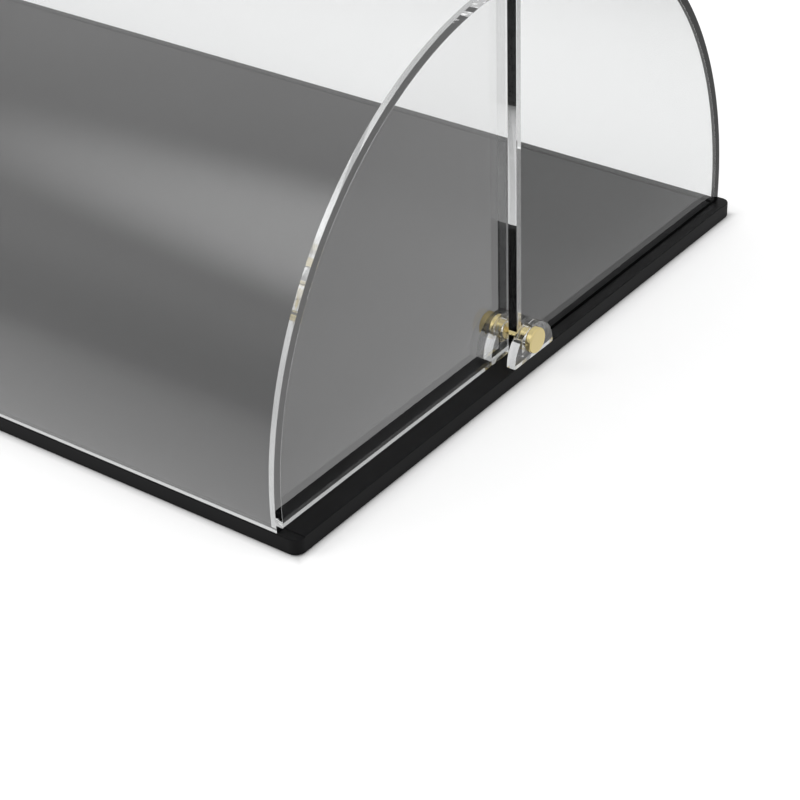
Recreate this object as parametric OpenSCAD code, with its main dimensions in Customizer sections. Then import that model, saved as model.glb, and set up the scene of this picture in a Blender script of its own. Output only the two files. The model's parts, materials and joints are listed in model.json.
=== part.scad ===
// Countertop bread display bin: a black plate under a clear roll-top. The roll-top is
// two quarter-round covers that turn on one axis, the front one nested in the back one.
// Frame: +X is the right end, -Y the front, +Z up. The origin is under the middle of the
// bin, on the surface that it stands on.

/* [Base plate] */
// Length of the plate, end to end
base_l = 600; // [520:5:700]
// Thickness of the plate
base_t = 8; // [6:0.5:12]
// Radius of the plate's upright corners
base_corner_r = 5; // [3:0.5:10]
// How far the plate reaches behind the closed back cover
back_margin = 4; // [0:0.5:15]
// Width of the ledge along each long side, where a curved sheet's foot lands
ledge_w = 5; // [4.6:0.1:8]
// Depth of that ledge
ledge_drop = 0.5; // [0.3:0.1:1.5]

/* [Feet] */
// Diameter of a foot
foot_d = 16; // [10:1:24]
// Thickness of a foot, pocket and all
foot_t = 2.6; // [1.6:0.1:4]
// How far a foot stands out of its pocket
foot_proud = 0.6; // [0.4:0.1:1.4]
// Distance of a foot's middle from the plate's sides
foot_inset = 30; // [20:1:60]

/* [Covers] */
// Outer radius of the front cover, the inner one of the two
front_r = 171; // [140:1:200]
// Free gap between the two curved sheets where they pass
nest_gap = 5; // [2:0.5:10]
// Thickness of the curved sheets
sheet_t = 4; // [3:0.5:4.5]
// Thickness of the flat end panels
end_t = 4.5; // [3:0.5:6]
// Cement line between the rim of an end panel and the curved sheet over it
seam = 0.1; // [0.05:0.05:0.3]
// Running gap between the end panels of the two covers
end_gap = 0.5; // [0.3:0.1:1.5]
// How far each cover reaches past the upright plane through the hinge
overlap = 3.5; // [2:0.5:6]
// Gap under a closed cover
seat_gap = 0.3; // [0.2:0.1:0.6]

/* [Hinge] */
// Height of the hinge axis above the plate
hinge_h = 10; // [8:0.5:12]
// Thickness of a lug
lug_t = 4.5; // [3:0.5:6]
// Radius of a lug's round top
lug_r = 15.4; // [15:0.2:20]
// Height of that round top's centre above the plate
lug_rise = 1; // [0.5:0.5:4]
// How far that centre lies behind the hinge axis
lug_back = 2; // [0:0.5:4]
// Running gap between the inner lug and the front cover's end panel
lug_gap = 0.3; // [0.2:0.1:1]
// Diameter of the hinge pin
pin_d = 3; // [2:0.5:4]
// Radial clearance of the pin in the end panels and the washer
pin_clearance = 0.05; // [0.02:0.01:0.1]
// Radial clearance of what is cemented or pressed into a bore
bond_clearance = 0.02; // [0.01:0.01:0.05]
// Metal left over each blind end of the pin
pin_cap = 1; // [0.8:0.1:1.5]
// Diameter of the brass barrels that sit in the lugs
barrel_d = 9; // [7:0.5:10]
// Diameter of the knob's head, outside the outer lug
head_d = 12.4; // [11.2:0.2:14]
// Thickness of that head
head_t = 3.6; // [2.6:0.2:8]
// Rounding of the head's rim
head_rim_r = 1.2; // [0.5:0.1:1.4]
// Thickness of the barrel's flange, inside the inner lug
flange_t = 2.2; // [1.8:0.1:4]
// Rounding of that flange's rim
flange_rim_r = 0.6; // [0.3:0.1:0.8]
// Diameter of the washer between the back cover and the outer lug
washer_d = 8; // [6:0.5:10]
// Thickness of that washer
washer_t = 1; // [0.5:0.1:2]
// Play on each side of the washer
washer_play = 0.1; // [0.05:0.05:0.3]

/* [Hidden] */
$fn = 96;
// Spare length that a cutting shape reaches past the face that it cuts
cut = 1;
back_r = front_r + nest_gap + sheet_t;
base_d = front_r + back_r + back_margin;
base_top = foot_proud + base_t;
hinge_y = front_r - base_d / 2;
hinge_z = base_top + hinge_h;
seat_drop = hinge_h - seat_gap;
// The hinge stack, from the plate's end inwards: each value is a piece's inner face
outer_lug_x = base_l / 2 - lug_t;
washer_x = outer_lug_x - washer_play - washer_t;
back_end_x = washer_x - washer_play - end_t;
front_end_x = back_end_x - end_gap - end_t;
inner_lug_x = front_end_x - lug_gap - lug_t;
flange_x = inner_lug_x - flange_t;
knob_end_x = base_l / 2 + head_t;
pin_hole_d = pin_d + 2 * pin_clearance;
pin_seat_d = pin_d + 2 * bond_clearance;
black = [0.05, 0.05, 0.055];
clear = [0.82, 0.88, 0.9, 0.35];
brass = [0.83, 0.68, 0.38];
rubber = [0.12, 0.12, 0.12];
nylon = [0.93, 0.93, 0.9];

// ---- placing ----

// A piece drawn for the right end, put at the right (side 1) or the left (side -1)
module at_end(side) {
    if (side > 0) children();
    else mirror([1, 0, 0]) children();
}

// An outline drawn in Y and Z about the hinge axis, made a slab t thick from x onwards
module slab(x, t) {
    translate([x, hinge_y, hinge_z]) rotate([90, 0, 90]) linear_extrude(t) children();
}

// A round piece drawn along +Z, laid along the hinge axis from x onwards
module along_hinge(x) {
    translate([x, hinge_y, hinge_z]) rotate([0, 90, 0]) children();
}

// ---- base plate and feet ----

// Rounded rectangle of the plate
module plate_outline() {
    r = base_corner_r;
    square([base_l - 2 * r, base_d], center = true);
    square([base_l, base_d - 2 * r], center = true);
    for (sx = [-1, 1], sy = [-1, 1])
        translate([sx * (base_l / 2 - r), sy * (base_d / 2 - r)]) circle(r = r);
}

// Strip cut out of the plate's top along one long side (side -1 is the front); the back
// one runs on from the back cover's foot to the plate's edge
module ledge_cut(side) {
    w = side > 0 ? ledge_w + back_margin : ledge_w;
    y = side > 0 ? base_d / 2 - w : -base_d / 2 - cut;
    translate([-base_l / 2 - cut, y, base_top - ledge_drop])
        cube([base_l + 2 * cut, w + cut, ledge_drop + cut]);
}

module foot_place(sx, sy) {
    translate([sx * (base_l / 2 - foot_inset), sy * (base_d / 2 - foot_inset), 0]) children();
}

module base_plate() {
    color(black) difference() {
        translate([0, 0, foot_proud]) linear_extrude(base_t) plate_outline();
        for (side = [-1, 1]) ledge_cut(side);
        for (sx = [-1, 1], sy = [-1, 1])
            foot_place(sx, sy) cylinder(h = foot_t, d = foot_d + 2 * bond_clearance);
    }
}

module foot(sx, sy) {
    color(rubber) foot_place(sx, sy) cylinder(h = foot_t, d = foot_d);
}

// ---- covers ----

// Side view of a curved sheet of outer radius r on the front cover, hinge axis at the
// origin: a quarter ring whose foot drops into the ledge
module sheet_outline(r) {
    foot_z = -seat_drop - ledge_drop;
    intersection() {
        translate([-r, foot_z]) square([r + overlap, r - foot_z]);
        difference() {
            circle(r = r);
            circle(r = r - sheet_t);
        }
    }
}

// Side view of that cover's end panel, which fills the inside of the curve: a quarter disc
// that stops above the plate, and a strip past the hinge plane that is rounded below the
// axis so that it clears the plate as the cover turns
module end_outline(r) {
    inner_r = r - sheet_t - seam;
    difference() {
        intersection() {
            circle(r = inner_r);
            union() {
                translate([-r, -seat_drop]) square([r, r + seat_drop]);
                square([overlap, r]);
                intersection() {
                    circle(r = seat_drop);
                    translate([0, -seat_drop]) square([overlap, seat_drop]);
                }
            }
        }
        circle(d = pin_hole_d);
    }
}

// A cover's curved sheet, which runs over the rims of its end panels to their outer faces
module sheet(end_x, r) {
    color(clear) slab(-end_x - end_t, 2 * (end_x + end_t)) sheet_outline(r);
}

module front_sheet() {
    sheet(front_end_x, front_r);
}

module front_end(side) {
    color(clear) at_end(side) slab(front_end_x, end_t) end_outline(front_r);
}

module back_sheet() {
    translate([0, 2 * hinge_y, 0]) mirror([0, 1, 0]) sheet(back_end_x, back_r);
}

module back_end(side) {
    color(clear) at_end(side) slab(back_end_x, end_t) mirror([1, 0]) end_outline(back_r);
}

// ---- hinges ----

// Side view of a lug: a disc cut off flat where it stands on the plate, bored off its
// middle for the hinge
module lug_outline() {
    difference() {
        translate([lug_back, lug_rise - hinge_h]) intersection() {
            circle(r = lug_r);
            translate([-lug_r, -lug_rise]) square([2 * lug_r, lug_r + lug_rise]);
        }
        circle(d = barrel_d + 2 * bond_clearance);
    }
}

module lug(side, x) {
    color(clear) at_end(side) slab(x, lug_t) lug_outline();
}

// Revolved brass turning: a shank that fills a lug's bore, and a head with a rounded rim
// outside it. It is drawn with the shank's end at z = 0 and bored from there for the pin.
module turning(d, h, rim_r) {
    difference() {
        rotate_extrude() {
            square([barrel_d / 2, lug_t]);
            translate([0, lug_t]) square([d / 2, h - rim_r]);
            translate([0, lug_t]) square([d / 2 - rim_r, h]);
            translate([d / 2 - rim_r, lug_t + h - rim_r]) circle(r = rim_r);
        }
        translate([0, 0, -cut]) cylinder(h = lug_t + h - pin_cap + cut, d = pin_seat_d);
    }
}

module hinge_knob(side) {
    color(brass) at_end(side) along_hinge(outer_lug_x) turning(head_d, head_t, head_rim_r);
}

module hinge_barrel(side) {
    color(brass) at_end(side) along_hinge(inner_lug_x + lug_t) mirror([0, 0, 1])
        turning(head_d, flange_t, flange_rim_r);
}

module hinge_pin(side) {
    inner_x = flange_x + pin_cap;
    outer_x = knob_end_x - pin_cap;
    color(brass) at_end(side) along_hinge(inner_x) cylinder(h = outer_x - inner_x, d = pin_d);
}

module hinge_washer(side) {
    color(nylon) at_end(side) along_hinge(washer_x) difference() {
        cylinder(h = washer_t, d = washer_d);
        translate([0, 0, -cut]) cylinder(h = washer_t + 2 * cut, d = pin_hole_d);
    }
}

base_plate();
foot(-1, -1);  // foot_front_left
foot(1, -1);  // foot_front_right
foot(-1, 1);  // foot_back_left
foot(1, 1);  // foot_back_right
front_sheet();
front_end(-1);  // front_end_left
front_end(1);  // front_end_right
back_sheet();
back_end(-1);  // back_end_left
back_end(1);  // back_end_right
lug(-1, outer_lug_x);  // outer_lug_left
lug(1, outer_lug_x);  // outer_lug_right
lug(-1, inner_lug_x);  // inner_lug_left
lug(1, inner_lug_x);  // inner_lug_right
hinge_pin(-1);  // hinge_pin_left
hinge_pin(1);  // hinge_pin_right
hinge_knob(-1);  // hinge_knob_left
hinge_knob(1);  // hinge_knob_right
hinge_barrel(-1);  // hinge_barrel_left
hinge_barrel(1);  // hinge_barrel_right
hinge_washer(-1);  // hinge_washer_left
hinge_washer(1);  // hinge_washer_right
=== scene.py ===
# %% [markdown]
# # A clear roll-top bread bin
# The bin is a black plate with a clear roll-top on it. The roll-top is two quarter-round
# covers that turn on one brass hinge axis, the front one nested inside the back one.
# Almost all that shows is clear sheet, so this scene is mostly about three things: solid
# panels with clean bright edges, a material that bends and mirrors light as acrylic does,
# and white surroundings for it to mirror.

# %% Load the frame
import json
import math

import bmesh
import bpy
from mathutils import Matrix, Vector


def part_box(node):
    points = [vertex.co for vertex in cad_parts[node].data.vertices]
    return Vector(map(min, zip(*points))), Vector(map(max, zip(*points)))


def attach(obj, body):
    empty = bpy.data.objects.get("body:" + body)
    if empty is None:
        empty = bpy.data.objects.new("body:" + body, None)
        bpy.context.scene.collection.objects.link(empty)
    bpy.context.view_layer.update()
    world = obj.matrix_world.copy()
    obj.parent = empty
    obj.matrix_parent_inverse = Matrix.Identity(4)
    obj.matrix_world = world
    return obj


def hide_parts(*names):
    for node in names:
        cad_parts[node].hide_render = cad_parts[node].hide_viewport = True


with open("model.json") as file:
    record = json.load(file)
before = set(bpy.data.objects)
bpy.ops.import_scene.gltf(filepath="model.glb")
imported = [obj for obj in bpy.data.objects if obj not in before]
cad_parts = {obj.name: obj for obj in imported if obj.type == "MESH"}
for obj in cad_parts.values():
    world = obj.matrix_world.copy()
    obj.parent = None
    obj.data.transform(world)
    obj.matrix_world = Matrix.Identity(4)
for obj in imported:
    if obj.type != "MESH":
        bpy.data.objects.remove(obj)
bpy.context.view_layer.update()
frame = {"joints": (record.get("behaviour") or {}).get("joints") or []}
MM = 0.001

# %% [markdown]
# ## Sizes
# Most sizes are read from the CAD nodes or from the joints, so that the pieces made here
# lie exactly where the solids are. The hinge axis is the joint's own point. The few sizes
# that a box can't give, such as a sheet's thickness, are the CAD's own round numbers.

# %% Read the sizes from the frame
joint = next(j for j in frame["joints"] if j["name"] == "front_cover_lift")
HINGE = Vector(joint["pos_m"])
plate_low, plate_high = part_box("base_plate")
PLATE_TOP = plate_high.z
LEDGE_W = 5 * MM
LEDGE_DROP = 0.5 * MM
CORNER_R = 5 * MM
FRONT_R = HINGE.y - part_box("front_sheet")[0].y
BACK_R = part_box("back_sheet")[1].y - HINGE.y
BACK_MARGIN = plate_high.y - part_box("back_sheet")[1].y
SHEET_T = 4 * MM
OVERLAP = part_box("front_sheet")[1].y - HINGE.y
FOOT_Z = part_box("front_sheet")[0].z - HINGE.z
PANEL_FOOT_Z = FOOT_Z + LEDGE_DROP
SEAM = 0.1 * MM
PIN_HOLE_R = 1.55 * MM
print("radii:", round(FRONT_R, 4), round(BACK_R, 4), "overlap:", round(OVERLAP, 4))

# %% [markdown]
# ## Camera
# The camera stands at the right front corner, above the bin, and looks down at the right
# end. Its place and its angles come from the plate's edges and the covers' arcs. A plain
# rotation from three angles is easier to read than a matrix full of numbers: the camera
# looks along -Z of its own frame, with +X to the right and +Y up.

# %% Place the camera
CAMERA_PLACE = Vector((0.7797, -0.7328, 0.5437))
CAMERA_YAW = math.radians(37.4266)
CAMERA_PITCH = math.radians(32.6115)
CAMERA_ROLL = math.radians(-2.0518)
CAMERA_LENS = 101.02


def make_camera():
    """The photograph's camera: yaw about Z, pitch down, then roll about the line of sight."""
    data = bpy.data.cameras.new("camera")
    data.sensor_width = 36.0
    data.lens = CAMERA_LENS
    data.clip_start = 0.01
    camera = bpy.data.objects.new("camera", data)
    bpy.context.scene.collection.objects.link(camera)
    turn = Matrix.Rotation(CAMERA_YAW, 4, "Z")
    tilt = Matrix.Rotation(math.pi / 2 - CAMERA_PITCH, 4, "X")
    roll = Matrix.Rotation(CAMERA_ROLL, 4, "Z")
    camera.matrix_world = Matrix.Translation(CAMERA_PLACE) @ turn @ tilt @ roll
    bpy.context.scene.camera = camera
    return camera


camera = make_camera()
sight = camera.matrix_world.to_3x3() @ Vector((0, 0, -1))
print("camera looks along", [round(v, 3) for v in sight])

# %% [markdown]
# ## Helpers for meshes
# Each piece starts as a bmesh, becomes a mesh object at the origin, and rides on the CAD
# body that it belongs to. Nearly all get a small rounded edge from a Bevel modifier. The
# bevel is limited by angle, so the fine facets of a curve are left alone and only real
# edges catch the light.

# %% Mesh helpers
SHARP = math.radians(30)


def smooth_faces(mesh, angle=SHARP):
    """Smooth shading with the real edges kept sharp."""
    mesh.shade_smooth()
    mesh.set_sharp_from_angle(angle=angle)


def finish_piece(bm, name, material, body, nodes, edge=0.0, segments=2):
    """Turns a bmesh into a piece: outward normals, rounded edges, material and body."""
    bmesh.ops.remove_doubles(bm, verts=bm.verts, dist=1e-6)
    bmesh.ops.recalc_face_normals(bm, faces=bm.faces)
    mesh = bpy.data.meshes.new(name)
    bm.to_mesh(mesh)
    bm.free()
    smooth_faces(mesh)
    piece = bpy.data.objects.new(name, mesh)
    bpy.context.scene.collection.objects.link(piece)
    piece.data.materials.append(material)
    if edge:
        bevel = piece.modifiers.new("edge", "BEVEL")
        bevel.width = edge
        bevel.segments = segments
        bevel.limit_method = "ANGLE"
        bevel.angle_limit = SHARP
        bevel.harden_normals = True
    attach(piece, body)
    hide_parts(*nodes)
    return piece


def keep_side(bm, point, normal):
    """Cuts the bmesh with a plane and removes what lies on the normal's side of it."""
    geometry = list(bm.verts) + list(bm.edges) + list(bm.faces)
    cut = bmesh.ops.bisect_plane(
        bm, geom=geometry, plane_co=point, plane_no=normal, clear_outer=True, dist=1e-7
    )
    return [e for e in cut["geom_cut"] if isinstance(e, bmesh.types.BMEdge)]


def paint_shade_on_feet(piece, material):
    """Gives the faces near the plate that look straight down a material of their own, which here
    is painted shade.
    """
    piece.data.materials.append(material)
    for face in piece.data.polygons:
        if face.normal.z < -0.99 and face.center.z < PLATE_TOP + MM:
            face.material_index = len(piece.data.materials) - 1


def extrude_along_x(bm, faces, depth):
    """Pulls flat faces into a solid of that depth along +X."""
    pulled = bmesh.ops.extrude_face_region(bm, geom=faces)
    verts = [v for v in pulled["geom"] if isinstance(v, bmesh.types.BMVert)]
    bmesh.ops.translate(bm, verts=verts, vec=(depth, 0, 0))


# %% [markdown]
# ## Effects that several finishes share
# Two small effects come back in more than one material. The first is the faint unevenness
# of shine that handling leaves. The second is a fine grain, as on a satin surface. Each is
# a node group with named inputs and outputs, built once.

# %% Shared shader groups
GRAIN_HEIGHT = 0.05 * MM
NOISE_LOW = 0.35
NOISE_HIGH = 0.7


def new_group(name, inputs, outputs):
    """An empty shader node group with the given (socket name, socket type, value) inputs."""
    group = bpy.data.node_groups.new(name, "ShaderNodeTree")
    for socket_name, kind, value in inputs:
        socket = group.interface.new_socket(socket_name, in_out="INPUT", socket_type=kind)
        socket.default_value = value
    for socket_name, kind in outputs:
        group.interface.new_socket(socket_name, in_out="OUTPUT", socket_type=kind)
    enter = group.nodes.new("NodeGroupInput")
    leave = group.nodes.new("NodeGroupOutput")
    return group, enter, leave


def make_handling_group():
    """Soft, wide patches that move roughness between two values."""
    group, enter, leave = new_group(
        "handling_patches",
        [
            ("Patch Size", "NodeSocketFloat", 20.0),
            ("Low", "NodeSocketFloat", 0.0),
            ("High", "NodeSocketFloat", 0.02),
        ],
        [("Roughness", "NodeSocketFloat")],
    )
    place = group.nodes.new("ShaderNodeTexCoord")
    noise = group.nodes.new("ShaderNodeTexNoise")
    noise.inputs["Detail"].default_value = 4.0
    spread = group.nodes.new("ShaderNodeMapRange")
    spread.inputs["From Min"].default_value = NOISE_LOW
    spread.inputs["From Max"].default_value = NOISE_HIGH
    link = group.links.new
    link(place.outputs["Object"], noise.inputs["Vector"])
    link(enter.outputs["Patch Size"], noise.inputs["Scale"])
    link(noise.outputs["Fac"], spread.inputs["Value"])
    link(enter.outputs["Low"], spread.inputs["To Min"])
    link(enter.outputs["High"], spread.inputs["To Max"])
    link(spread.outputs["Result"], leave.inputs["Roughness"])
    return group


def make_grain_group():
    """Fine satin grain, as a bumped normal."""
    group, enter, leave = new_group(
        "satin_grain",
        [("Grain Size", "NodeSocketFloat", 900.0), ("Strength", "NodeSocketFloat", 0.2)],
        [("Normal", "NodeSocketVector")],
    )
    place = group.nodes.new("ShaderNodeTexCoord")
    noise = group.nodes.new("ShaderNodeTexNoise")
    noise.inputs["Detail"].default_value = 3.0
    bump = group.nodes.new("ShaderNodeBump")
    bump.inputs["Distance"].default_value = GRAIN_HEIGHT
    link = group.links.new
    link(place.outputs["Object"], noise.inputs["Vector"])
    link(enter.outputs["Grain Size"], noise.inputs["Scale"])
    link(enter.outputs["Strength"], bump.inputs["Strength"])
    link(noise.outputs["Fac"], bump.inputs["Height"])
    link(bump.outputs["Normal"], leave.inputs["Normal"])
    return group


HANDLING = make_handling_group()
GRAIN = make_grain_group()
print("shader groups:", HANDLING.name, GRAIN.name)

# %% [markdown]
# ## Finishes
# A finish is one material. New materials come with a Principled shader, and the helper
# below hands it over with its node tree, so that each finish is a short list of changes.

# %% Material helpers


def new_material(name):
    """A material with its nodes, its Principled shader and its output node."""
    material = bpy.data.materials.new(name)
    material.use_nodes = True
    nodes = material.node_tree.nodes
    return material, nodes, nodes["Principled BSDF"], nodes["Material Output"]


def add_group(material, group, **values):
    """Places a shared group in a material and sets its inputs."""
    node = material.node_tree.nodes.new("ShaderNodeGroup")
    node.node_tree = group
    for socket_name, value in values.items():
        node.inputs[socket_name.replace("_", " ")].default_value = value
    return node


def add_math(nodes, links, operation, first, second=0.0):
    """A Math node on numbers or sockets."""
    node = nodes.new("ShaderNodeMath")
    node.operation = operation
    for number, value in enumerate((first, second)):
        if isinstance(value, float):
            node.inputs[number].default_value = value
        else:
            links.new(value, node.inputs[number])
    return node.outputs["Value"]


def add_range(nodes, kind, low, high, to_low, to_high):
    """A Map Range node between two inputs and two results, with a soft start and end."""
    node = nodes.new("ShaderNodeMapRange")
    node.interpolation_type = kind
    node.inputs["From Min"].default_value = low
    node.inputs["From Max"].default_value = high
    node.inputs["To Min"].default_value = to_low
    node.inputs["To Max"].default_value = to_high
    return node


def add_blend(nodes, links, factor, low, high):
    """A float Mix node; low and high are numbers or sockets."""
    node = nodes.new("ShaderNodeMix")
    node.data_type = "FLOAT"
    links.new(factor, node.inputs["Factor"])
    for name, value in (("A", low), ("B", high)):
        if isinstance(value, float):
            node.inputs[name].default_value = value
        else:
            links.new(value, node.inputs[name])
    return node.outputs["Result"]


# %% [markdown]
# ### Clear acrylic
# Acrylic is a solid that bends light a little less than window glass does, with an index
# of 1.49. Because each panel is a closed solid, light that enters a rim is mirrored from
# face to face inside it, and the rims glow and show pieces of the brass by themselves. For
# that the faces are perfectly smooth: with a little roughness, or with a coat met from
# inside, the many bounces add up to a plain white rim. Lamps would not reach through the
# solid, so rays that test for shadow pass a Transparent shader instead.
#
# The front cover has a clear coat as well, which makes it mirror more than the back cover
# does. It acts only on faces met from outside. A Volume Absorption shader takes a little
# light per metre. That hardly shows across a sheet of 4 mm, but it dims what has run along
# the sheet to a rim.

# %% Clear acrylic
ACRYLIC_IOR = 1.49
COAT_IOR = 2.0
SHADOW_LIGHT = (0.93, 0.93, 0.93, 1.0)
FRONT_TINT = (0.962, 0.967, 0.967)
BACK_TINT = (0.975, 0.98, 0.98)


def clear_acrylic(name, tint, coated, per_metre):
    """per_metre is the density of the absorption: 1 leaves 37 % of the light after 1 m."""
    material, nodes, shader, output = new_material(name)
    links = material.node_tree.links
    shader.inputs["Base Color"].default_value = (*tint, 1.0)
    shader.inputs["Transmission Weight"].default_value = 1.0
    shader.inputs["Metallic"].default_value = 0.0
    shader.inputs["IOR"].default_value = ACRYLIC_IOR
    shader.inputs["Roughness"].default_value = 0.0
    if coated:
        shader.inputs["Coat Roughness"].default_value = 0.0
        shader.inputs["Coat IOR"].default_value = COAT_IOR
        facing = nodes.new("ShaderNodeNewGeometry")
        outside = add_math(nodes, links, "SUBTRACT", 1.0, facing.outputs["Backfacing"])
        links.new(outside, shader.inputs["Coat Weight"])
    path = nodes.new("ShaderNodeLightPath")
    passing = nodes.new("ShaderNodeBsdfTransparent")
    passing.inputs["Color"].default_value = SHADOW_LIGHT
    mix = nodes.new("ShaderNodeMixShader")
    links.new(path.outputs["Is Shadow Ray"], mix.inputs["Fac"])
    links.new(shader.outputs["BSDF"], mix.inputs[1])
    links.new(passing.outputs["BSDF"], mix.inputs[2])
    links.new(mix.outputs["Shader"], output.inputs["Surface"])
    if per_metre:
        loss = nodes.new("ShaderNodeVolumeAbsorption")
        loss.inputs["Color"].default_value = (0, 0, 0, 1)
        loss.inputs["Density"].default_value = per_metre
        links.new(loss.outputs["Volume"], output.inputs["Volume"])
    return material


FRONT_SHEET_ACRYLIC = clear_acrylic("clear_acrylic_front_sheet", FRONT_TINT, True, 0.3)
FRONT_PANEL_ACRYLIC = clear_acrylic("clear_acrylic_front_panel", FRONT_TINT, True, 1.0)
BACK_SHEET_ACRYLIC = clear_acrylic("clear_acrylic_back_sheet", BACK_TINT, False, 4.0)
BACK_ACRYLIC = clear_acrylic("clear_acrylic_back", BACK_TINT, False, 0.0)

# %% [markdown]
# ### Black plate, brass, rubber and nylon
# The plate is black all through, with a satin face that mirrors little. The brass is
# turned and lacquered, with a fine grain from the tool. Rubber and nylon hardly show. The
# last one isn't a real finish: it stands for the shut gap under the back cover's feet,
# where the photograph shows no light.

# %% Opaque finishes


def black_plate():
    material, _, shader, _ = new_material("black_plate")
    link = material.node_tree.links.new
    shader.inputs["Base Color"].default_value = (0.0085, 0.0085, 0.009, 1.0)
    shader.inputs["Specular IOR Level"].default_value = 0.1
    patches = add_group(material, HANDLING, Patch_Size=9.0, Low=0.42, High=0.52)
    grain = add_group(material, GRAIN, Grain_Size=1400.0, Strength=0.12)
    link(patches.outputs["Roughness"], shader.inputs["Roughness"])
    link(grain.outputs["Normal"], shader.inputs["Normal"])
    return material


def turned_brass():
    material, _, shader, _ = new_material("turned_brass")
    link = material.node_tree.links.new
    shader.inputs["Base Color"].default_value = (0.87, 0.72, 0.355, 1.0)
    shader.inputs["Metallic"].default_value = 1.0
    patches = add_group(material, HANDLING, Patch_Size=300.0, Low=0.05, High=0.12)
    grain = add_group(material, GRAIN, Grain_Size=2500.0, Strength=0.15)
    link(patches.outputs["Roughness"], shader.inputs["Roughness"])
    link(grain.outputs["Normal"], shader.inputs["Normal"])
    return material


def matt_finish(name, colour, low, high):
    material, _, shader, _ = new_material(name)
    link = material.node_tree.links.new
    shader.inputs["Base Color"].default_value = (*colour, 1.0)
    patches = add_group(material, HANDLING, Patch_Size=120.0, Low=low, High=high)
    grain = add_group(material, GRAIN, Grain_Size=1800.0, Strength=0.3)
    link(patches.outputs["Roughness"], shader.inputs["Roughness"])
    link(grain.outputs["Normal"], shader.inputs["Normal"])
    return material


def painted_foot_shade():
    """Painted shade: near-black for an acrylic foot over the black plate, so that no light comes
    back.
    """
    material, _, shader, _ = new_material("painted_shade_feet")
    shader.inputs["Base Color"].default_value = (0.001, 0.001, 0.001, 1.0)
    shader.inputs["Roughness"].default_value = 0.8
    shader.inputs["Specular IOR Level"].default_value = 0.0
    return material


BLACK = black_plate()
# Painted shade: near-black for the undersides of the back cover's feet, so that no light shows
# there.
FOOT_SHADE_PAINT = painted_foot_shade()
BRASS = turned_brass()
RUBBER = matt_finish("foot_rubber", (0.02, 0.02, 0.02), 0.7, 0.85)
NYLON = matt_finish("washer_nylon", (0.72, 0.72, 0.69), 0.35, 0.5)
print("materials:", [m.name for m in bpy.data.materials if m.users])

# %% [markdown]
# ## Base plate
# A cut and routed sheet: upright corners of 5 mm, a shallow ledge along each long side
# where a cover's foot lands, and edges that are only just broken. The plate reaches a
# little past the back cover, and the back ledge with it. It starts as a cube without the
# ledge's depth. The upright edges are bevelled, two cuts mark off the ledges, and the
# middle of the top is pulled up by the ledge's depth.

# %% Base plate
PLATE_EDGE = 0.35 * MM
CORNER_STEPS = 10


def make_base_plate():
    bm = bmesh.new()
    size = plate_high - plate_low
    middle = (plate_high + plate_low) / 2 - Vector((0, 0, LEDGE_DROP / 2))
    scale = Matrix.Diagonal((size.x, size.y, size.z - LEDGE_DROP, 1))
    bmesh.ops.create_cube(bm, size=1.0, matrix=Matrix.Translation(middle) @ scale)
    upright = [e for e in bm.edges if abs(e.verts[0].co.z - e.verts[1].co.z) > MM]
    bmesh.ops.bevel(
        bm,
        geom=upright,
        offset=CORNER_R,
        segments=CORNER_STEPS,
        affect="EDGES",
        profile=0.5,
        material=-1,
        clamp_overlap=False,
    )
    front_line = plate_low.y + LEDGE_W
    back_line = plate_high.y - BACK_MARGIN - LEDGE_W
    for y in (front_line, back_line):
        geometry = list(bm.verts) + list(bm.edges) + list(bm.faces)
        bmesh.ops.bisect_plane(
            bm, geom=geometry, plane_co=(0, y, 0), plane_no=(0, 1, 0), dist=1e-7
        )
    top = [
        f
        for f in bm.faces
        if f.normal.z > 0.9 and front_line < f.calc_center_median().y < back_line
    ]
    pulled = bmesh.ops.extrude_face_region(bm, geom=top)
    verts = [v for v in pulled["geom"] if isinstance(v, bmesh.types.BMVert)]
    bmesh.ops.translate(bm, verts=verts, vec=(0, 0, LEDGE_DROP))
    finish_piece(bm, "plate", BLACK, "base", ["base_plate"], PLATE_EDGE)


make_base_plate()

# %% [markdown]
# ## Curved sheets
# Each curved sheet is one piece of acrylic, heated and drawn over a former. Its section is
# a thin ring segment, so it is made as a sheet-metal worker would draw it: a flat strip as
# long as the bin and as thick as the sheet, spun about the hinge axis. The spin goes a
# little past both ends, and two planes cut it to its foot and to its top edge. Both feet
# end just above the ledges. The front one stays clear and shows as a white line. The back
# one has painted shade, a near-black, on its foot, so it is dark.

# %% Curved sheets
ARC_STEP = math.radians(0.3)
WELD = 0.03 * MM
POLISHED_EDGE = 0.1 * MM
CUT_EDGE = 0.03 * MM


def make_sheet(name, radius, node, side, body, material):
    """side is -1 for the front cover and 1 for the back one."""
    low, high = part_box(node)
    start = math.asin(FOOT_Z / radius) - ARC_STEP
    end = math.pi / 2 + math.asin(OVERLAP / radius) + ARC_STEP
    steps = math.ceil((end - start) / ARC_STEP)
    bm = bmesh.new()
    corners = [
        (low.x + WELD, radius),
        (high.x - WELD, radius),
        (high.x - WELD, radius - SHEET_T),
        (low.x + WELD, radius - SHEET_T),
    ]
    points = [
        HINGE + Vector((x - HINGE.x, side * r * math.cos(start), r * math.sin(start)))
        for x, r in corners
    ]
    strip = bm.faces.new([bm.verts.new(p) for p in points])
    bmesh.ops.spin(
        bm,
        geom=[strip],
        cent=HINGE,
        axis=(side, 0, 0),
        angle=end - start,
        steps=steps,
        use_duplicate=False,
    )
    foot = HINGE + Vector((0, 0, FOOT_Z))
    crown = HINGE - Vector((0, side * OVERLAP, 0))
    for point, normal in ((foot, (0, 0, -1)), (crown, (0, -side, 0))):
        rim = keep_side(bm, point, normal)
        bmesh.ops.edgeloop_fill(bm, edges=rim)
    piece = finish_piece(bm, name, material, body, [node], POLISHED_EDGE)
    # The back sheet's foot gets painted shade, a near-black, so that no light shows under it.
    if side > 0:
        paint_shade_on_feet(piece, FOOT_SHADE_PAINT)
    return piece


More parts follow.
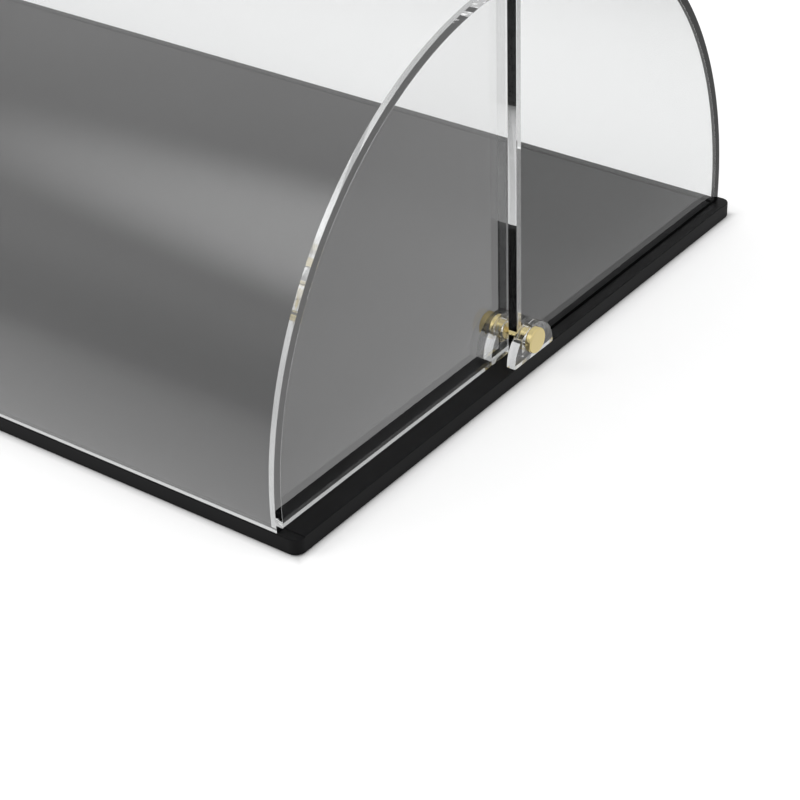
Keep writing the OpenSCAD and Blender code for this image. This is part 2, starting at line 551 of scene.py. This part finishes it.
front_sheet = make_sheet(
    "front_curved_sheet", FRONT_R, "front_sheet", -1, "front_cover", FRONT_SHEET_ACRYLIC
)
back_sheet = make_sheet(
    "back_curved_sheet", BACK_R, "back_sheet", 1, "back_cover", BACK_SHEET_ACRYLIC
)
print("sheet faces:", len(front_sheet.data.polygons), len(back_sheet.data.polygons))

# %% [markdown]
# ## End panels
# The flat ends are laser-cut quarter discs, with a small hole for the hinge pin. The
# outline is drawn point by point: the big arc, the straight edge past the hinge, a small
# arc below the hinge so that this corner clears the plate as the cover turns, and the
# foot. The curved sheet runs over the panel's rim, with a thin seam between them. The hole
# is cut with a Boolean, which keeps the flat faces whole, and its wall is brass, so that
# the pin shows in the rim. The back panels have no bevel, since round their dark feet it
# shows as thin light lines.

# %% End panels
PIN_HOLE_SIDES = 48
HOLE_WALL_R = 1.1 * PIN_HOLE_R


def cut_hole(piece, centre, radius, depth, sides):
    """Bores a round hole along X through a piece, before its edges are bevelled."""
    bm = bmesh.new()
    place = Matrix.Translation(centre) @ Matrix.Rotation(math.pi / 2, 4, "Y")
    bmesh.ops.create_cone(
        bm,
        cap_ends=True,
        segments=sides,
        radius1=radius,
        radius2=radius,
        depth=depth,
        matrix=place,
    )
    mesh = bpy.data.meshes.new("borer")
    bm.to_mesh(mesh)
    bm.free()
    borer = bpy.data.objects.new("borer", mesh)
    bpy.context.scene.collection.objects.link(borer)
    boolean = piece.modifiers.new("hole", "BOOLEAN")
    boolean.operation = "DIFFERENCE"
    boolean.solver = "EXACT"
    boolean.object = borer
    piece.modifiers.move(piece.modifiers.find("hole"), 0)
    bpy.context.view_layer.update()
    with bpy.context.temp_override(object=piece, active_object=piece):
        bpy.ops.object.modifier_apply(modifier="hole")
    bpy.data.objects.remove(borer)
    smooth_faces(piece.data)


def arc_points(radius, start, end, step=ARC_STEP):
    """Points of an arc about the hinge axis, as (distance outwards, height)."""
    count = math.ceil(abs(end - start) / step)
    angles = [start + (end - start) * i / count for i in range(count + 1)]
    return [(radius * math.cos(a), radius * math.sin(a)) for a in angles]


def panel_outline(radius):
    """The outline of a closed cover's end, as (distance outwards, height) from the axis."""
    rim_r = radius - SHEET_T - SEAM
    corner_r = -PANEL_FOOT_Z
    crown = math.pi / 2 + math.asin(OVERLAP / rim_r)
    corner = math.pi / 2 + math.asin(OVERLAP / corner_r)
    rim = arc_points(rim_r, math.asin(PANEL_FOOT_Z / rim_r), crown)
    return rim + arc_points(corner_r, -corner, -math.pi / 2, 4 * ARC_STEP)


def make_end_panel(name, radius, node, side, body, material):
    """side is -1 for the front cover and 1 for the back one."""
    low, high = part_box(node)
    bm = bmesh.new()
    outline = [(low.x, HINGE.y + side * u, HINGE.z + v) for u, v in panel_outline(radius)]
    face = bm.faces.new([bm.verts.new(p) for p in outline])
    extrude_along_x(bm, [face], high.x - low.x)
    edge = CUT_EDGE if side < 0 else 0.0
    piece = finish_piece(bm, name, material, body, [node], edge, 1)
    centre = Vector(((low.x + high.x) / 2, HINGE.y, HINGE.z))
    cut_hole(piece, centre, PIN_HOLE_R, 3 * (high.x - low.x), PIN_HOLE_SIDES)
    piece.data.materials.append(BRASS)
    for face in piece.data.polygons:
        away = face.center - HINGE
        if math.hypot(away.y, away.z) < HOLE_WALL_R and abs(face.normal.x) < 0.5:
            face.material_index = 1
    # The back panel's feet get painted shade, a near-black, so that no light shows under them.
    if side > 0:
        paint_shade_on_feet(piece, FOOT_SHADE_PAINT)


for end in ("left", "right"):
    make_end_panel(
        f"front_end_panel_{end}",
        FRONT_R,
        f"front_end_{end}",
        -1,
        "front_cover",
        FRONT_PANEL_ACRYLIC,
    )
    make_end_panel(
        f"back_end_panel_{end}", BACK_R, f"back_end_{end}", 1, "back_cover", BACK_ACRYLIC
    )

# %% [markdown]
# ## Lugs
# Four D-shaped lugs hold the hinge. Each is a disc cut off flat where it is cemented to
# the plate, with a bore for its brass. The disc's centre lies below the bore and a little
# behind it.

# %% Lugs
LUG_R = 15.4 * MM
LUG_RISE = 1.0 * MM
LUG_BACK = 2.0 * MM
BORE_R = 4.52 * MM
LUG_ARC_SIDES = 192
BORE_SIDES = 96


def make_lug(name, node):
    low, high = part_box(node)
    bm = bmesh.new()
    centre = Vector((low.x, HINGE.y + LUG_BACK, PLATE_TOP + LUG_RISE))
    place = Matrix.Translation(centre) @ Matrix.Rotation(math.pi / 2, 4, "Y")
    bmesh.ops.create_circle(bm, cap_ends=True, radius=LUG_R, segments=LUG_ARC_SIDES, matrix=place)
    keep_side(bm, (0, 0, PLATE_TOP + WELD), (0, 0, -1))
    extrude_along_x(bm, list(bm.faces), high.x - low.x)
    piece = finish_piece(bm, name, BACK_ACRYLIC, "base", [node], POLISHED_EDGE)
    bore = Vector(((low.x + high.x) / 2, HINGE.y, HINGE.z))
    cut_hole(piece, bore, BORE_R, 3 * (high.x - low.x), BORE_SIDES)


for end in ("left", "right"):
    make_lug(f"hinge_lug_outer_{end}", f"outer_lug_{end}")
    make_lug(f"hinge_lug_inner_{end}", f"inner_lug_{end}")

# %% [markdown]
# ## Brass hinge hardware
# Knob, barrel and pin are lathe work, so each is a half section spun once about the hinge
# axis. A section is a short list of (distance along X, radius) corners, and the rounded
# rims come from the Bevel modifier, as a turner would break an edge.

# %% Turned pieces
TURN_STEPS = 96


def turn_on_lathe(name, section, node, material, edge, segments=3):
    """Spins a closed (x, radius) section about the hinge axis."""
    bm = bmesh.new()
    verts = [bm.verts.new((x, HINGE.y, HINGE.z + r)) for x, r in section]
    outline = [bm.edges.new((a, b)) for a, b in zip(verts, verts[1:])]
    bmesh.ops.spin(
        bm,
        geom=verts + outline,
        cent=HINGE,
        axis=(1, 0, 0),
        angle=2 * math.pi,
        steps=TURN_STEPS,
        use_merge=True,
        use_duplicate=False,
    )
    finish_piece(bm, name, material, "base", [node], edge, segments)


SHANK_R = 4.5 * MM
HEAD_RIM = 1.2 * MM
FLANGE_RIM = 0.5 * MM
PIN_RIM = 0.2 * MM
WASHER_RIM = 0.15 * MM


def make_hinge(end, out):
    """out is 1 at the right end and -1 at the left: the way from the middle of the bin."""
    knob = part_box(f"hinge_knob_{end}")
    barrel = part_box(f"hinge_barrel_{end}")
    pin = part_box(f"hinge_pin_{end}")
    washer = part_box(f"hinge_washer_{end}")
    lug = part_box(f"outer_lug_{end}")
    inner_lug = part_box(f"inner_lug_{end}")

    def span(box):
        """A box's near and far end along X, seen from the middle of the bin."""
        return (box[0].x, box[1].x) if out > 0 else (box[1].x, box[0].x)

    head_r = (knob[1].z - knob[0].z) / 2
    shank_end, face = span(knob)
    lug_face = span(lug)[1]
    knob_section = [
        (shank_end, 0),
        (shank_end, SHANK_R),
        (lug_face + out * WELD, SHANK_R),
        (lug_face + out * WELD, head_r),
        (face, head_r),
        (face, 0),
    ]
    turn_on_lathe(
        f"knob_{end}", knob_section, f"hinge_knob_{end}", BRASS, HEAD_RIM, 5
    )
    back, mouth = span(barrel)
    lug_back = span(inner_lug)[0]
    barrel_section = [
        (back, 0),
        (back, head_r),
        (lug_back - out * WELD, head_r),
        (lug_back - out * WELD, SHANK_R),
        (mouth, SHANK_R),
        (mouth, 0),
    ]
    turn_on_lathe(
        f"barrel_{end}", barrel_section, f"hinge_barrel_{end}", BRASS, FLANGE_RIM
    )
    near, far = span(pin)
    pin_r = (pin[1].z - pin[0].z) / 2
    pin_section = [(near, 0), (near, pin_r), (far, pin_r), (far, 0)]
    turn_on_lathe(f"pin_{end}", pin_section, f"hinge_pin_{end}", BRASS, PIN_RIM)
    inner, outer = span(washer)
    washer_r = (washer[1].z - washer[0].z) / 2
    washer_section = [
        (inner, PIN_HOLE_R),
        (inner, washer_r),
        (outer, washer_r),
        (outer, PIN_HOLE_R),
        (inner, PIN_HOLE_R),
    ]
    turn_on_lathe(
        f"washer_{end}", washer_section, f"hinge_washer_{end}", NYLON, WASHER_RIM
    )


make_hinge("right", 1)
make_hinge("left", -1)

# %% [markdown]
# ## Feet
# Four round rubber feet are pressed into shallow pockets under the plate. Only a thin
# shadow gap shows from outside, so a cone with equal radii and a broken edge is enough.

# %% Feet
FOOT_SIDES = 64
FOOT_RIM = 0.2 * MM


def make_foot(node):
    low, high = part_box(node)
    bm = bmesh.new()
    bmesh.ops.create_cone(
        bm,
        cap_ends=True,
        segments=FOOT_SIDES,
        radius1=(high.x - low.x) / 2,
        radius2=(high.x - low.x) / 2,
        depth=high.z - low.z,
        matrix=Matrix.Translation((low + high) / 2),
    )
    finish_piece(bm, f"rubber_{node}", RUBBER, "base", [node], FOOT_RIM)


for row in ("front", "back"):
    for end in ("left", "right"):
        make_foot(f"foot_{row}_{end}")

# %% [markdown]
# ## Floor and surroundings
# Everything around the bin is plain white, as in a light tent, but the acrylic shows that
# the tent isn't even: its mirror images are dimmer towards the right, fade at the horizon
# and have one soft bright patch high up at the front left. So there are three kinds of
# ray. What the camera sees, directly or straight through the acrylic, is white. What it
# sees in a mirror image, which has a glossy bounce on its way, is the uneven tent. All
# other rays are light, and get an even, slightly weaker white.

# %% Kinds of ray


def make_ray_group():
    """Seen is 1 for a ray that the camera follows, Mirrored if it was reflected as well."""
    group, _, leave = new_group(
        "ray_kinds", [], [("Seen", "NodeSocketFloat"), ("Mirrored", "NodeSocketFloat")]
    )
    nodes, links = group.nodes, group.links
    path = nodes.new("ShaderNodeLightPath")
    seen = path.outputs["Is Camera Ray"]
    for name in ("Is Glossy Ray", "Is Transmission Ray"):
        seen = add_math(nodes, links, "MAXIMUM", seen, path.outputs[name])
    bounced = add_math(nodes, links, "GREATER_THAN", path.outputs["Glossy Depth"], 0.5)
    links.new(seen, leave.inputs["Seen"])
    links.new(add_math(nodes, links, "MULTIPLY", bounced, seen), leave.inputs["Mirrored"])
    return group


RAY_KINDS = make_ray_group()

# %% [markdown]
# ### Floor
# The floor's own shade under the lamp is topped up with a glow, so that it looks white to
# the eye but still shows a soft shadow. The glow stops at the plate, which keeps the narrow
# gap under it dark. In a mirror image the floor only glows, and by an amount that depends
# on the place: less beyond the right end, less far in front and a little less at the back.
# Each band below is the stretch, in metres, over which one amount passes into the other.

# %% Floor
FLOOR_HALF = 6.0
FLOOR_GLOW = 0.41
FLOOR_BASE = 0.8
MIRROR_FRONT = 0.86
MIRROR_RIGHT = 0.67
MIRROR_FAR_FRONT = 0.63
MIRROR_FAR_BACK = 0.9
RIGHT_BAND = (0.26, 0.34)
FRONT_BAND = (-0.55, -0.15)
BACK_BAND = (0.05, 0.14)
PLATE_BAND = (-2 * MM, 4 * MM)


def make_floor():
    bm = bmesh.new()
    bmesh.ops.create_grid(bm, x_segments=1, y_segments=1, size=FLOOR_HALF)
    mesh = bpy.data.meshes.new("floor")
    bm.to_mesh(mesh)
    bm.free()
    floor = bpy.data.objects.new("floor", mesh)
    bpy.context.scene.collection.objects.link(floor)
    material, nodes, shader, _ = new_material("white_floor")
    links = material.node_tree.links
    shader.inputs["Roughness"].default_value = 0.9
    shader.inputs["Specular IOR Level"].default_value = 0.0
    kinds = nodes.new("ShaderNodeGroup")
    kinds.node_tree = RAY_KINDS
    place = nodes.new("ShaderNodeTexCoord")
    axes = nodes.new("ShaderNodeSeparateXYZ")
    links.new(place.outputs["Object"], axes.inputs["Vector"])
    across, along = axes.outputs["X"], axes.outputs["Y"]

    rightwards = add_range(nodes, "SMOOTHSTEP", *RIGHT_BAND, MIRROR_FRONT, MIRROR_RIGHT)
    forwards = add_range(nodes, "SMOOTHSTEP", *FRONT_BAND, MIRROR_FAR_FRONT, 1.0)
    backwards = add_range(nodes, "SMOOTHSTEP", *BACK_BAND, 1.0, MIRROR_FAR_BACK)
    links.new(across, rightwards.inputs["Value"])
    links.new(along, forwards.inputs["Value"])
    links.new(along, backwards.inputs["Value"])
    mirrored = add_math(
        nodes, links, "MULTIPLY", rightwards.outputs["Result"], forwards.outputs["Result"]
    )
    mirrored = add_math(nodes, links, "MULTIPLY", mirrored, backwards.outputs["Result"])
    lit_share = add_math(nodes, links, "SUBTRACT", 1.0, kinds.outputs["Mirrored"])

    # Painted shade: the floor's glow is gone from 2 mm inside the plate's outline and is back in
    # full 4 mm outside it, which darkens the floor under and round the plate.
    past_end = add_math(
        nodes, links, "SUBTRACT", add_math(nodes, links, "ABSOLUTE", across), plate_high.x
    )
    past_side = add_math(
        nodes, links, "SUBTRACT", add_math(nodes, links, "ABSOLUTE", along), plate_high.y
    )
    past = add_math(nodes, links, "MAXIMUM", past_end, past_side)
    beside = add_range(nodes, "SMOOTHSTEP", *PLATE_BAND, 0.0, 1.0)
    links.new(past, beside.inputs["Value"])

    base = add_math(nodes, links, "MULTIPLY", lit_share, FLOOR_BASE)
    links.new(base, shader.inputs["Base Color"])
    glow = add_blend(nodes, links, kinds.outputs["Mirrored"], FLOOR_GLOW, mirrored)
    glow = add_math(nodes, links, "MULTIPLY", glow, kinds.outputs["Seen"])
    glow = add_math(nodes, links, "MULTIPLY", glow, beside.outputs["Result"])
    shader.inputs["Emission Color"].default_value = (1, 1, 1, 1)
    links.new(glow, shader.inputs["Emission Strength"])
    floor.data.materials.append(material)


make_floor()

# %% [markdown]
# ### World
# The world shader can't read a place, but for a world the Generated coordinate is the
# direction of the ray. Its height gives the dim horizon and the lighter ceiling, and its
# angle to one fixed direction gives the bright patch. The first two bands below are
# heights of that direction, the last one is the cosine of the angle.

# %% World
WORLD_SEEN = 1.0
WORLD_LIGHT = 0.8
HORIZON_DIM = 0.56
WALLS = 0.67
CEILING_GAIN = 0.1
PATCH_DIRECTION = Vector((-0.425, -0.676, 0.602)).normalized()
PATCH_GAIN = 0.78
HORIZON_BAND = (0.0, 0.23)
CEILING_BAND = (0.55, 0.95)
PATCH_BAND = (0.927, 1.0)


def make_world():
    world = bpy.data.worlds.new("white_surroundings")
    world.use_nodes = True
    nodes, links = world.node_tree.nodes, world.node_tree.links
    background = nodes["Background"]
    background.inputs["Color"].default_value = (1, 1, 1, 1)
    kinds = nodes.new("ShaderNodeGroup")
    kinds.node_tree = RAY_KINDS
    place = nodes.new("ShaderNodeTexCoord")
    axes = nodes.new("ShaderNodeSeparateXYZ")
    horizon = add_range(nodes, "SMOOTHSTEP", *HORIZON_BAND, HORIZON_DIM, WALLS)
    ceiling = add_range(nodes, "SMOOTHSTEP", *CEILING_BAND, 0.0, CEILING_GAIN)
    towards = nodes.new("ShaderNodeVectorMath")
    towards.operation = "DOT_PRODUCT"
    towards.inputs[1].default_value = PATCH_DIRECTION
    patch = add_range(nodes, "SMOOTHERSTEP", *PATCH_BAND, 0.0, PATCH_GAIN)
    links.new(place.outputs["Generated"], axes.inputs["Vector"])
    links.new(place.outputs["Generated"], towards.inputs[0])
    links.new(axes.outputs["Z"], horizon.inputs["Value"])
    links.new(axes.outputs["Z"], ceiling.inputs["Value"])
    links.new(towards.outputs["Value"], patch.inputs["Value"])
    tent = add_math(nodes, links, "ADD", horizon.outputs["Result"], ceiling.outputs["Result"])
    tent = add_math(nodes, links, "ADD", tent, patch.outputs["Result"])
    seen = add_blend(nodes, links, kinds.outputs["Mirrored"], WORLD_SEEN, tent)
    strength = add_blend(nodes, links, kinds.outputs["Seen"], WORLD_LIGHT, seen)
    links.new(strength, background.inputs["Strength"])
    bpy.context.scene.world = world


make_world()

# %% [markdown]
# ## Lamp
# One large, weak softbox at the front left gives the shadows a direction. It is hidden from
# reflections and from what is seen through the acrylic, where its square shape would show.

# %% Lamp


def make_softbox(name, place, target, size, watts):
    data = bpy.data.lights.new(name, "AREA")
    data.shape = "SQUARE"
    data.size = size
    data.energy = watts
    lamp = bpy.data.objects.new(name, data)
    bpy.context.scene.collection.objects.link(lamp)
    aim = (Vector(target) - Vector(place)).to_track_quat("-Z", "Y").to_matrix().to_4x4()
    lamp.matrix_world = Matrix.Translation(place) @ aim
    lamp.visible_glossy = False
    lamp.visible_transmission = False


make_softbox("softbox_left", place=(-1.2, -1.5, 1.7), target=(0.1, 0, 0.1), size=0.9, watts=12)

# %% [markdown]
# ## View settings and sizes
# White has to stay white, so the view is Standard. Light crosses a panel's thickness dozens
# of times on its way to a rim, so the bounce limits are far above their defaults.

# %% View settings and sizes
BOUNCES = 64
SHADOW_LAYERS = 24
scene = bpy.context.scene
scene.view_settings.view_transform = "Standard"
scene.cycles.max_bounces = BOUNCES
scene.cycles.transmission_bounces = BOUNCES
scene.cycles.glossy_bounces = BOUNCES
scene.cycles.transparent_max_bounces = SHADOW_LAYERS
scene.cycles.use_denoising = True
